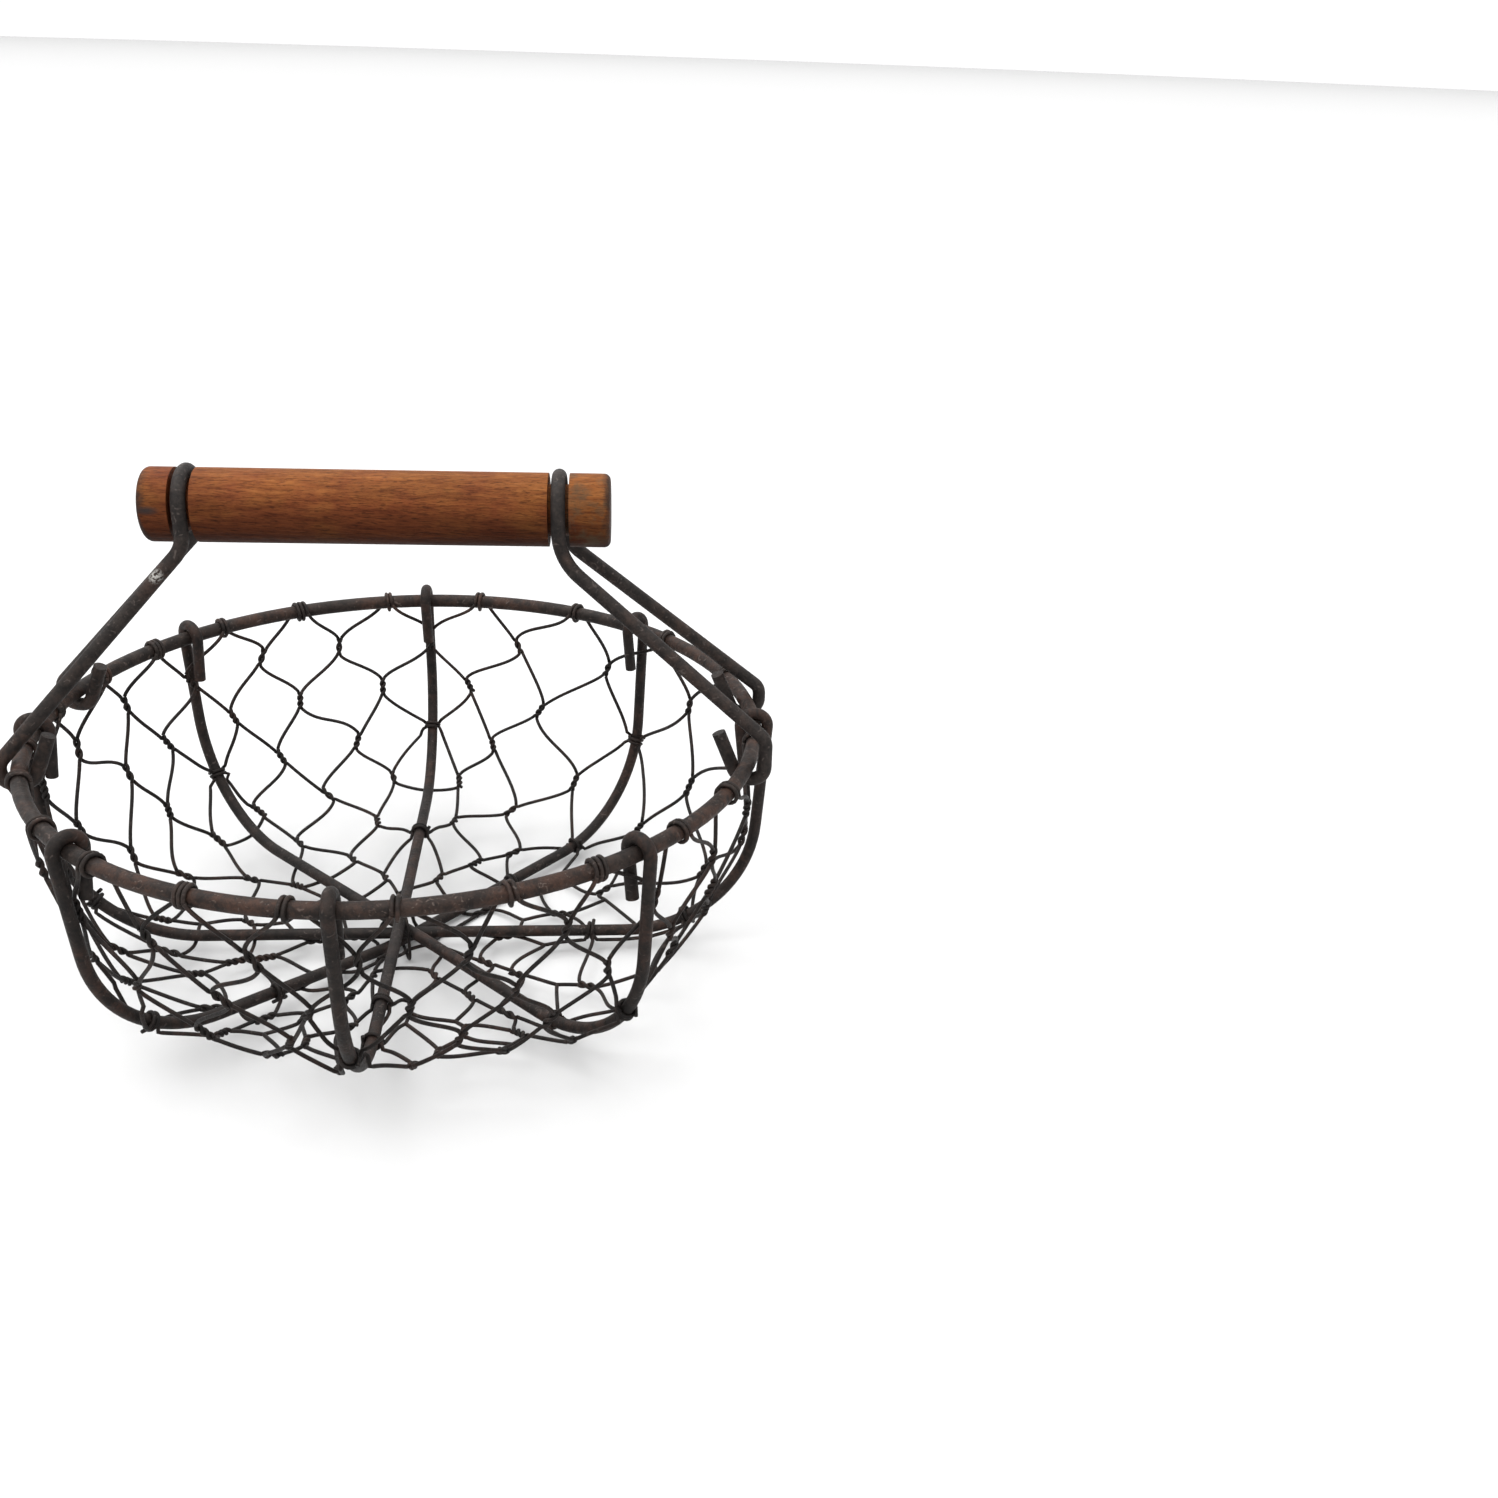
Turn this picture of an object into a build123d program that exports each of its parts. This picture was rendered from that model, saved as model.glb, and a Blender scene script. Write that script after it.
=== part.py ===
"""Wire egg collection basket: welded rim ring, four crossing rib wires, hexagonal
netting, two wire bails hooked on the rim and a turned wooden grip between them.

Millimetres. Origin on the ground under the rim's centre, +Z up, +X along the grip.
"""

import os
from math import asin, atan2, cos, hypot, radians, sin

from build123d import *

os.makedirs("parts", exist_ok=True)

# Wire diameters
RIM_WIRE = 4.4
RIB_WIRE = 3.5
BAIL_WIRE = 3.9
NET_WIRE = 0.95

# Bowl
RIM_RADIUS = 102.5  # centreline of the rim ring
RIM_HEIGHT = 76.3  # rim centreline above the ground
FIT_GAP = 0.05  # air between wires that touch
HUB_PITCH = RIB_WIRE + FIT_GAP  # the ribs cross stacked on one another
HUB_LOWEST = 2.8  # centreline of the lowest rib at the hub
CORNER_RADIUS = 40.0  # bend from wall to base
CORNER_INSET = 1.1  # wall foot, inside the rim's centreline
RIB_TAIL = 14.0  # cut end of a rib's hook, below the rim
RIB_TAIL_LEAN = radians(6.5)  # the tail leans back towards the wall
HUB_FLAT = 11.0  # level run either side of the hub
HUB_BEND = 60.0

# One entry per rib wire: its name, the azimuths of its two hooks, the depth of its
# base below the rim under each hook, and its place in the stack at the hub.
RIBS = [
    ("rib_right_left", -2.0, 182.0, 70.9, 69.2, 1),
    ("rib_rear_right", 47.6, -134.9, 71.6, 62.5, 0),
    ("rib_front_rear", 92.1, -92.7, 60.5, 63.4, 3),
    ("rib_rear_left", 138.3, -49.3, 65.6, 69.4, 2),
]

# Azimuths of the netting's wire ends, each coiled round the rim
RIM_COILS = [
    19.0, 39.2, 61.5, 81.7, 99.4, 116.4, 131.8, 146.1, 159.0, 174.0, 188.5,
    -160.0, -143.5, -129.2, -112.5, -98.5, -84.4, -69.6, -56.7, -41.0, -27.0, -8.0,
]
# Netting coils on each rib, as shares of its length
RIB_COILS = {
    "rib_right_left": [0.17, 0.38, 0.62, 0.83],
    "rib_rear_right": [0.2, 0.41, 0.6, 0.84],
    "rib_front_rear": [0.16, 0.37, 0.61, 0.8],
    "rib_rear_left": [0.18, 0.36, 0.6, 0.83],
}
COIL_TURNS = 2.2
COIL_PITCH = NET_WIRE + 0.12

# Netting panels, one wall and one base panel between each two ribs
PANEL_TOP = 8.0  # upper edge below the rim's centreline, clear of the bails' hooks
PANEL_OUT = 2.6  # outer face outside the rim's centreline, at its top
PANEL_SIDE = 3.1  # panel edge to rib centreline
PANEL_HUB = 15.0  # open radius round the hub
PANEL_SPLIT = 45.0  # wall meets base this far round the corner bend, in degrees
PANEL_SPARE = 4.0  # swept past each rib before the sides are cut, in degrees

# Tie at the hub
HUB_CENTRE = Vector(-4.3, -3.4, 0)
TIE_AZIMUTH = 108.0
TIE_HALF = 9.0
TIE_BEND = 4.0

# Wooden grip
GRIP_RADIUS = 10.0
GRIP_HEIGHT = RIM_HEIGHT + 66.0
GRIP_HEAD_LEFT = 11.0  # end of the grip to the groove's centre
GRIP_HEAD_RIGHT = 13.9
GRIP_EDGE = 1.8
GROOVE_LEFT = Vector(-52.4, -1.5, GRIP_HEIGHT)
GROOVE_RIGHT = Vector(46.8, -4.5, GRIP_HEIGHT)
GROOVE_WIDTH = 5.7
GROOVE_RADIUS = 7.0

# Bails: a loop over the grip, then legs out and down to hooks round the rim
LOOP_GAP = 0.2  # air between a loop and its groove, so that the handle can rock
LOOP_RADIUS = GROOVE_RADIUS + BAIL_WIRE / 2 + LOOP_GAP
LOOP_BEND = LOOP_RADIUS - 0.2
HOOK_DROP = (RIM_WIRE + BAIL_WIRE) / 2 + 0.5  # hook's bottom run, below the rim's centre
HOOK_OUT = 4.9  # hook's outer run, outside the rim's centreline
HOOK_IN = -3.0  # hook's inner corner
HOOK_BEND = 4.2
SHOULDER_BEND = 4.5
TAIL_OUT = -8.6  # cut tail end, from the rim's centreline
TAIL_UP = 8.6

# Per bail: its name, groove, height of the knees above the rim, knee bend, and for the
# front and rear leg the azimuth of the hook and the height of its shoulder above the rim.
BAILS = [
    ("bail_left", GROOVE_LEFT, 57.0, 9.0, (-164.8, 1.9), (165.6, 1.9)),
    ("bail_right", GROOVE_RIGHT, 55.0, 15.0, (-16.2, 7.9), (9.45, 3.2)),
]


def point_on(radius, azimuth, height):
    """A point given by radius, azimuth in degrees and height."""
    return Vector(radius * cos(radians(azimuth)), radius * sin(radians(azimuth)), height)


def round_section(path):
    """Plane for a wire's round section at the start of its path."""
    return Plane(origin=path @ 0, z_dir=path % 0)


# Rim ring, a closed hoop of round wire
with BuildPart() as rim:
    with BuildSketch(Plane.XZ) as rim_section:
        with Locations((RIM_RADIUS, RIM_HEIGHT)):
            Circle(RIM_WIRE / 2)
    revolve(axis=Axis.Z)
rim.part.label = "rim"
export_step(rim.part, "parts/rim.step")


def rib_plane(first, second):
    """Upright plane through two hooks, at the rim's height, and the half span."""
    start = point_on(RIM_RADIUS, first, RIM_HEIGHT)
    end = point_on(RIM_RADIUS, second, RIM_HEIGHT)
    along = (start - end).normalized()
    upright = Plane(origin=(start + end) * 0.5, x_dir=along, z_dir=along.cross(Vector(0, 0, 1)))
    return upright, (start - end).length / 2


def rib_hook(span, depth, side):
    """Hook over the rim and its cut tail; returns where the wall starts and its foot."""
    radius = (RIM_WIRE + RIB_WIRE) / 2 + FIT_GAP
    lean = atan2(CORNER_INSET, depth) + asin(radius / hypot(CORNER_INSET, depth))
    wall = (side * (span + radius * cos(lean)), -radius * sin(lean))
    inner = (side * (span - radius * cos(RIB_TAIL_LEAN)), -radius * sin(RIB_TAIL_LEAN))
    tail_run = side * RIB_TAIL * sin(RIB_TAIL_LEAN)
    ThreePointArc(wall, (side * span, radius), inner)
    Line(inner, (inner[0] + tail_run, inner[1] - RIB_TAIL * cos(RIB_TAIL_LEAN)))
    return wall, (side * (span - CORNER_INSET), -depth)


def make_rib(first, second, first_depth, second_depth, place):
    """One wire: hooked over the rim, down the wall, across the base and up again."""
    upright, span = rib_plane(first, second)
    hub = HUB_LOWEST + place * HUB_PITCH - RIM_HEIGHT
    with BuildPart() as rib:
        with BuildLine(upright) as path:
            first_wall, first_foot = rib_hook(span, first_depth, 1)
            second_wall, second_foot = rib_hook(span, second_depth, -1)
            FilletPolyline(
                first_wall,
                first_foot,
                (HUB_FLAT, hub),
                (-HUB_FLAT, hub),
                second_foot,
                second_wall,
                radius=[CORNER_RADIUS, HUB_BEND, HUB_BEND, CORNER_RADIUS],
            )
        with BuildSketch(round_section(path.wire())):
            Circle(RIB_WIRE / 2)
        sweep()
    return rib, path.wire()


rib_paths = {}
rib_planes = {}
for rib_name, first_hook, second_hook, first_base, second_base, stack_place in RIBS:
    rib_planes[rib_name] = rib_plane(first_hook, second_hook)[0]
    rib_wire, rib_path = make_rib(first_hook, second_hook, first_base, second_base, stack_place)
    rib_wire.part.label = rib_name
    rib_paths[rib_name] = rib_path
    export_step(rib_wire.part, f"parts/{rib_name}.step")
    print(rib_name, "length", round(rib_path.length, 1), "volume", round(rib_wire.part.volume))


def coil_round(place, bar_wire):
    """Netting wire wound round a bar, on a plane whose normal is the bar's direction."""
    length = COIL_TURNS * COIL_PITCH
    radius = (bar_wire + NET_WIRE) / 2 + FIT_GAP
    with BuildPart(mode=Mode.PRIVATE) as coil:
        with BuildLine() as turns:
            Helix(COIL_PITCH, length, radius, center=(0, 0, -length / 2))
        with BuildSketch(round_section(turns.wire())):
            Circle(NET_WIRE / 2)
        sweep(is_frenet=True)
    return coil.part.moved(place.location)


# Netting wire ends coiled round the rim
with BuildPart() as net_rim_coils:
    for coil_azimuth in RIM_COILS:
        rim_point = point_on(RIM_RADIUS, coil_azimuth, RIM_HEIGHT)
        rim_run = Vector(-rim_point.Y, rim_point.X, 0)
        add(coil_round(Plane(origin=rim_point, x_dir=(0, 0, 1), z_dir=rim_run), RIM_WIRE))
net_rim_coils.part.label = "net_rim_coils"
export_step(net_rim_coils.part, "parts/net_rim_coils.step")

# Netting wire wound round the ribs where it crosses them
with BuildPart() as net_rib_coils:
    for rib_name, shares in RIB_COILS.items():
        for share in shares:
            rib_place = Plane(origin=rib_paths[rib_name] @ share, z_dir=rib_paths[rib_name] % share)
            add(coil_round(rib_place, RIB_WIRE))
net_rib_coils.part.label = "net_rib_coils"
export_step(net_rib_coils.part, "parts/net_rib_coils.step")

# Thin wire tying the stacked ribs together at the hub, an upright racetrack loop
tie_bottom = HUB_LOWEST - (RIB_WIRE + NET_WIRE) / 2 - FIT_GAP
tie_top = HUB_LOWEST + 3 * HUB_PITCH + (RIB_WIRE + NET_WIRE) / 2 + FIT_GAP
tie_plane = Plane(
    origin=(HUB_CENTRE.X, HUB_CENTRE.Y, (tie_bottom + tie_top) / 2),
    x_dir=point_on(1, TIE_AZIMUTH, 0),
    z_dir=point_on(1, TIE_AZIMUTH - 90, 0),
)
with BuildPart() as hub_tie:
    with BuildLine(tie_plane) as tie_path:
        FilletPolyline(
            (-TIE_HALF, (tie_bottom - tie_top) / 2),
            (TIE_HALF, (tie_bottom - tie_top) / 2),
            (TIE_HALF, (tie_top - tie_bottom) / 2),
            (-TIE_HALF, (tie_top - tie_bottom) / 2),
            radius=TIE_BEND,
            close=True,
        )
    with BuildSketch(round_section(tie_path.wire())):
        Circle(NET_WIRE / 2)
    sweep()
hub_tie.part.label = "hub_tie"
export_step(hub_tie.part, "parts/hub_tie.step")


def side_plane(rib_name, azimuth, turn):
    """Upright plane beside a rib, its normal pointing towards the panel on that side."""
    upright = rib_planes[rib_name]
    into = upright.z_dir
    if into.dot(point_on(1, azimuth + turn, 0)) < 0:
        into = into * -1
    return Plane(origin=upright.origin + into * PANEL_SIDE, z_dir=into)


def make_panel(first, second, wall):
    """Netting between two ribs: its wall part, or the base part that carries on from it."""
    first_azimuth, first_name, first_depth, first_hub = first
    second_azimuth, second_name, second_depth, second_hub = second
    depth = (first_depth + second_depth) / 2
    foot = (RIM_RADIUS - CORNER_INSET, RIM_HEIGHT - depth)
    top = (RIM_RADIUS + PANEL_OUT, RIM_HEIGHT - PANEL_TOP)
    hub = (PANEL_HUB, (first_hub + second_hub) / 2)
    split_height = foot[1] + CORNER_RADIUS * (1 - sin(radians(PANEL_SPLIT)))
    start = first_azimuth - PANEL_SPARE
    section_plane = Plane(
        origin=(0, 0, 0), x_dir=point_on(1, start, 0), z_dir=point_on(1, start - 90, 0)
    )
    with BuildPart() as panel:
        with BuildSketch(section_plane):
            with BuildLine():
                outer = FilletPolyline(top, foot, hub, radius=CORNER_RADIUS)
                inner = FilletPolyline(
                    (top[0] - NET_WIRE, top[1]),
                    (foot[0] - NET_WIRE, foot[1] + NET_WIRE),
                    (hub[0], hub[1] + NET_WIRE),
                    radius=CORNER_RADIUS - NET_WIRE,
                )
                Line(outer @ 0, inner @ 0)
                Line(outer @ 1, inner @ 1)
            make_face()
        revolve(axis=Axis.Z, revolution_arc=second_azimuth - first_azimuth + 2 * PANEL_SPARE)
        split(bisect_by=side_plane(first_name, first_azimuth, 90))
        split(bisect_by=side_plane(second_name, second_azimuth, -90))
        split(bisect_by=Plane.XY.offset(split_height), keep=Keep.TOP if wall else Keep.BOTTOM)
    return panel


# Netting, divided at the ribs into wall panels and base panels
panel_edges = []
for rib_name, first_hook, second_hook, first_base, second_base, stack_place in RIBS:
    hub_height = HUB_LOWEST + stack_place * HUB_PITCH
    panel_edges.append((first_hook % 360, rib_name, first_base, hub_height))
    panel_edges.append((second_hook % 360, rib_name, second_base, hub_height))
panel_edges.sort()
wrapped_edge = (panel_edges[0][0] + 360, *panel_edges[0][1:])
for number, (edge, next_edge) in enumerate(zip(panel_edges, panel_edges[1:] + [wrapped_edge])):
    for panel_name, is_wall in ((f"net_wall_{number}", True), (f"net_base_{number}", False)):
        net_panel = make_panel(edge, next_edge, is_wall)
        net_panel.part.label = panel_name
        export_step(net_panel.part, f"parts/{panel_name}.step")

# Wooden grip: a turned dowel with a groove near each end
grip_run = (GROOVE_RIGHT - GROOVE_LEFT).normalized()
groove_spacing = (GROOVE_RIGHT - GROOVE_LEFT).length
with BuildPart() as grip:
    with BuildSketch(Plane(origin=GROOVE_LEFT, x_dir=grip_run, z_dir=grip_run.cross(Vector(0, 0, 1)))):
        with Locations(((groove_spacing + GRIP_HEAD_RIGHT - GRIP_HEAD_LEFT) / 2, GRIP_RADIUS / 2)):
            Rectangle(groove_spacing + GRIP_HEAD_LEFT + GRIP_HEAD_RIGHT, GRIP_RADIUS)
        with Locations((0, GRIP_RADIUS), (groove_spacing, GRIP_RADIUS)):
            Rectangle(GROOVE_WIDTH, 2 * (GRIP_RADIUS - GROOVE_RADIUS), mode=Mode.SUBTRACT)
    revolve(axis=Axis(GROOVE_LEFT, grip_run))
    grip_ends = grip.faces().sort_by(Axis(GROOVE_LEFT, grip_run))
    fillet(grip_ends[0].edges() + grip_ends[-1].edges(), radius=GRIP_EDGE)
grip.part.label = "grip"
export_step(grip.part, "parts/grip.step")


def bail_leg(groove, side, knee_up, hook_azimuth, shoulder_up):
    """Corner points of one leg, from the loop's top corner to the cut tail."""
    across = Vector(0, 0, 1).cross(grip_run) * (side * LOOP_RADIUS)
    knee = groove + across
    return [
        knee + Vector(0, 0, LOOP_RADIUS),
        Vector(knee.X, knee.Y, RIM_HEIGHT + knee_up),
        point_on(RIM_RADIUS + HOOK_OUT, hook_azimuth, RIM_HEIGHT + shoulder_up),
        point_on(RIM_RADIUS + HOOK_OUT, hook_azimuth, RIM_HEIGHT - HOOK_DROP),
        point_on(RIM_RADIUS + HOOK_IN, hook_azimuth, RIM_HEIGHT - HOOK_DROP),
        point_on(RIM_RADIUS + TAIL_OUT, hook_azimuth, RIM_HEIGHT + TAIL_UP),
    ]


# Bails: each one wire, hook to hook over the grip
for bail_name, groove_centre, knee_height, knee_bend, front_hook, rear_hook in BAILS:
    front_leg = bail_leg(groove_centre, -1, knee_height, *front_hook)
    rear_leg = bail_leg(groove_centre, 1, knee_height, *rear_hook)
    leg_bends = [LOOP_BEND, knee_bend, SHOULDER_BEND, HOOK_BEND, HOOK_BEND]
    with BuildPart() as bail:
        with BuildLine() as bail_path:
            FilletPolyline(*reversed(rear_leg), *front_leg, radius=leg_bends[::-1] + leg_bends)
        with BuildSketch(round_section(bail_path.wire())):
            Circle(BAIL_WIRE / 2)
        sweep()
    bail.part.label = bail_name
    export_step(bail.part, f"parts/{bail_name}.step")
    print(bail_name, "length", round(bail_path.wire().length, 1), "volume", round(bail.part.volume))
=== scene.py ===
"""Wire egg collection basket: materials, real hexagonal netting, light and camera."""

import math
import random

import bpy
import numpy as np
from mathutils import Matrix, Vector, geometry


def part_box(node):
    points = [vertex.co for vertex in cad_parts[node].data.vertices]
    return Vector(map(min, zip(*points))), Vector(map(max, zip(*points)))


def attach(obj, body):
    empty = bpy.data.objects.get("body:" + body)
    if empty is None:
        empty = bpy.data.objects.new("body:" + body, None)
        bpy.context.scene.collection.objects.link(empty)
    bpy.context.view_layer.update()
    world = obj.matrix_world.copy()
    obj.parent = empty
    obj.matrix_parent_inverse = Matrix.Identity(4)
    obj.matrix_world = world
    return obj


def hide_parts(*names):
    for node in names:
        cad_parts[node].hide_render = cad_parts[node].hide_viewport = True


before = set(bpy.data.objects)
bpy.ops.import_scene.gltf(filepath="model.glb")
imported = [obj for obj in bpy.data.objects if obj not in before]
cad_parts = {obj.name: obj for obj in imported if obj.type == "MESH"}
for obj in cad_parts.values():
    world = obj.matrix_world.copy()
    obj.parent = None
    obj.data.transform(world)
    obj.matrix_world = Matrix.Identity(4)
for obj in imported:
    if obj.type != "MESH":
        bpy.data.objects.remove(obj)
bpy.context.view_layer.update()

# Millimetres, as in the CAD
MM = 0.001
RIM_RADIUS = 102.5  # of the rim's centreline
RIM_HEIGHT = 76.3
RIM_WIRE = 4.4
RIB_WIRE = 3.5
HOOK_REACH = 3.6  # a rib's wire under its hook, outside the rim's centreline
FOOT_INSET = 1.1  # the foot of the wall, inside it
CORNER_RADIUS = 40.0
HUB_CENTRE = (-4.3, -3.4)
HUB_LOWEST = 2.8
HUB_PITCH = 3.55

NET_WIRE = 1.15
WRAP_GAP = 0.03  # between the netting's wire and the wire it winds round
GROUND_GAP = 0.1
INSIDE_RIBS = -2.4  # the netting's level against the ribs on the wall
OUTSIDE_RIBS = 2.35  # and on the base
CROSSING = (38, 66)  # depths between which it passes from one to the other
CROSSING_MIDDLE = 52

# Where each half rib comes down: azimuth of its hook, depth of its base below the rim,
# height of its wire at the hub.
HALF_RIBS = sorted(
    (azimuth % 360, depth, HUB_LOWEST + place * HUB_PITCH)
    for azimuth, depth, place in (
        (-2.0, 70.9, 1), (182.0, 69.2, 1), (47.6, 71.6, 0), (-134.9, 62.5, 0),
        (92.1, 60.5, 3), (-92.7, 63.4, 3), (138.3, 65.6, 2), (-49.3, 69.4, 2),
    )
)
RIM_COILS = [
    -160.0, -143.5, -129.2, -112.5, -98.5, -84.4, -69.6, -56.7, -41.0, -27.0, -8.0,
    19.0, 39.2, 61.5, 81.7, 99.4, 116.4, 131.8, 146.1, 159.0, 174.0, 188.5,
]
ROW_PITCH = 17.2
TWIST_LENGTH = 5.9
TWIST_RADIUS = 0.58
rng = random.Random(11)


# ---------------------------------------------------------------- wire meshes

class Wires:
    """Collects round wires into one mesh."""

    def __init__(self, sides=8):
        self.sides = sides
        self.verts = []
        self.faces = []

    def add(self, points, radius):
        """Sweeps a round section along points, in millimetres, resting on the ground at lowest."""
        pts = []
        for p in points:
            p = Vector((p[0], p[1], max(p[2], radius + GROUND_GAP)))
            if not pts or (p - pts[-1]).length > 1e-4:
                pts.append(p)
        count = len(pts)
        tangents = []
        for i in range(count):
            a = pts[max(i - 1, 0)]
            b = pts[min(i + 1, count - 1)]
            tangents.append((b - a).normalized())
        side = tangents[0].orthogonal().normalized()
        base = len(self.verts)
        for i in range(count):
            side = (side - tangents[i] * side.dot(tangents[i])).normalized()
            other = tangents[i].cross(side)
            for k in range(self.sides):
                angle = 2 * math.pi * k / self.sides
                v = pts[i] + (side * math.cos(angle) + other * math.sin(angle)) * radius
                self.verts.append(v * MM)
        for i in range(count - 1):
            for k in range(self.sides):
                a = base + i * self.sides + k
                b = base + i * self.sides + (k + 1) % self.sides
                self.faces.append((a, b, b + self.sides, a + self.sides))
        last = base + (count - 1) * self.sides
        self.faces.append(tuple(base + k for k in reversed(range(self.sides))))
        self.faces.append(tuple(last + k for k in range(self.sides)))

    def build(self, name):
        mesh = bpy.data.meshes.new(name)
        mesh.from_pydata(self.verts, [], self.faces)
        mesh.validate()
        for polygon in mesh.polygons:
            polygon.use_smooth = len(polygon.vertices) == 4
        obj = bpy.data.objects.new(name, mesh)
        bpy.context.scene.collection.objects.link(obj)
        return obj


def bezier(p0, p1, p2, p3, steps):
    """Points along a cubic curve."""
    out = []
    for i in range(steps + 1):
        t = i / steps
        a = (1 - t) ** 3
        b = 3 * t * (1 - t) ** 2
        c = 3 * t * t * (1 - t)
        out.append(p0 * a + p1 * b + p2 * c + p3 * t ** 3)
    return out


# ---------------------------------------------------------------- netting surface

def smoothstep(low, high, x):
    t = min(max((x - low) / (high - low), 0.0), 1.0)
    return t * t * (3 - 2 * t)


def make_profile(depth, hub_height):
    """Lengths from the rim along a half rib's centreline, and the radius and height there."""
    top = np.array([RIM_RADIUS + HOOK_REACH, RIM_HEIGHT])
    foot = np.array([RIM_RADIUS - FOOT_INSET, RIM_HEIGHT - depth])
    hub = np.array([0.0, hub_height])
    up = (top - foot) / np.linalg.norm(top - foot)
    along = (hub - foot) / np.linalg.norm(hub - foot)
    angle = math.acos(float(up @ along))
    cut = CORNER_RADIUS / math.tan(angle / 2)
    start = foot + up * cut
    end = foot + along * cut
    middle = (up + along) / np.linalg.norm(up + along)
    centre = foot + middle * (CORNER_RADIUS / math.sin(angle / 2))
    points = [top + (start - top) * t for t in np.linspace(0, 1, 12)]
    first = math.atan2(*(start - centre)[::-1])
    last = math.atan2(*(end - centre)[::-1])
    if last > first:
        last -= 2 * math.pi
    for t in np.linspace(0, 1, 30)[1:]:
        a = first + (last - first) * t
        points.append(centre + CORNER_RADIUS * np.array([math.cos(a), math.sin(a)]))
    points += [end + (hub - end) * t for t in np.linspace(0, 1, 14)[1:]]
    points = np.array(points)
    lengths = np.concatenate([[0], np.cumsum(np.linalg.norm(np.diff(points, axis=0), axis=1))])
    return lengths, points


PROFILES = [make_profile(depth, hub) for _, depth, hub in HALF_RIBS]
TOTAL = float(np.mean([lengths[-1] for lengths, _ in PROFILES]))


def profile_at(index, share):
    """Radius, height and outward normal (radial, up) of half rib number index."""
    lengths, points = PROFILES[index]
    s = min(max(share, 0.0), 1.0) * lengths[-1]
    radius = float(np.interp(s, lengths, points[:, 0]))
    height = float(np.interp(s, lengths, points[:, 1]))
    ahead = min(s + 1.0, lengths[-1])
    behind = max(s - 1.0, 0.0)
    dr, dz = (
        float(np.interp(ahead, lengths, points[:, i]) - np.interp(behind, lengths, points[:, i]))
        for i in (0, 1)
    )
    size = math.hypot(dr, dz) or 1.0
    return radius, height, -dz / size, dr / size


def place(radius, azimuth, height):
    """Point of the bowl; its centre slides from the rim's to the hub's."""
    slide = 1 - radius / RIM_RADIUS
    a = math.radians(azimuth)
    return Vector((
        HUB_CENTRE[0] * slide + radius * math.cos(a),
        HUB_CENTRE[1] * slide + radius * math.sin(a),
        height,
    ))


def gore(azimuth):
    """Half ribs either side of an azimuth, and the share of the way between them."""
    a = azimuth % 360
    for i in range(len(HALF_RIBS)):
        first = HALF_RIBS[i][0]
        second = HALF_RIBS[(i + 1) % len(HALF_RIBS)][0]
        if second < first:
            second += 360
        b = a + 360 if a < first else a
        if first <= b < second:
            return i, (i + 1) % len(HALF_RIBS), (b - first) / (second - first)
    return len(HALF_RIBS) - 1, 0, 0.0


def surface(azimuth, s):
    """A point of the netting at s millimetres below the rim, with its outward normal."""
    i, j, share = gore(azimuth)
    down = s / TOTAL
    ri, zi, ni, ui = profile_at(i, down)
    rj, zj, nj, uj = profile_at(j, down)
    radius = ri * (1 - share) + rj * share
    height = zi * (1 - share) + zj * share
    out = ni * (1 - share) + nj * share
    rise = ui * (1 - share) + uj * share
    round_point = place(radius, azimuth, height)
    chord = place(ri, HALF_RIBS[i][0], zi).lerp(place(rj, HALF_RIBS[j][0], zj), share)
    point = round_point.lerp(chord, smoothstep(12, 55, s))
    a = math.radians(azimuth)
    normal = Vector((out * math.cos(a), out * math.sin(a), rise)).normalized()
    # Inside the ribs on the wall, outside them from the corner on
    level = INSIDE_RIBS + (OUTSIDE_RIBS - INSIDE_RIBS) * smoothstep(*CROSSING, s)
    snug = math.exp(-((beside_rib(azimuth, s) / 4.0) ** 2))
    against = OUTSIDE_RIBS if s > CROSSING_MIDDLE else -OUTSIDE_RIBS
    level = level * (1 - snug) + against * snug
    return point + normal * level, normal


def beside_rib(azimuth, s):
    """Distance in millimetres, round the bowl, to the nearest rib."""
    i, j, share = gore(azimuth)
    span = (HALF_RIBS[j][0] - HALF_RIBS[i][0]) % 360
    return math.radians(min(share, 1 - share) * span) * profile_at(i, s / TOTAL)[0]


# ---------------------------------------------------------------- netting layout

# A map of the bowl that keeps small shapes: the hub is its centre, the rim its edge.
mean_s = np.linspace(-30, TOTAL - 1.0, 500)
mean_r = np.array([
    np.mean([profile_at(i, max(s, 0) / TOTAL)[0] for i in range(len(PROFILES))]) for s in mean_s
])
mean_u = np.concatenate([[0], np.cumsum(np.diff(mean_s) / ((mean_r[1:] + mean_r[:-1]) / 2))])
mean_u -= np.interp(0.0, mean_s, mean_u)


def to_map(azimuth, s):
    """Place on the map of an azimuth and a depth."""
    rho = 100 * math.exp(-float(np.interp(s, mean_s, mean_u)))
    return Vector((rho * math.cos(math.radians(azimuth)), rho * math.sin(math.radians(azimuth))))


def from_map(p):
    """Azimuth and depth of a place on the map."""
    rho = max(p.length, 1e-6)
    s = float(np.interp(-math.log(rho / 100), mean_u, mean_s))
    return math.degrees(math.atan2(p.y, p.x)), s


def turn(first, second):
    """Degrees from the first azimuth to the second, between -180 and 180."""
    return (second - first + 180) % 360 - 180


def middles(azimuths):
    """Azimuths half way between each one and the next."""
    return [a + ((b - a) % 360) / 2 for a, b in zip(azimuths, azimuths[1:] + azimuths[:1])]


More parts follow.
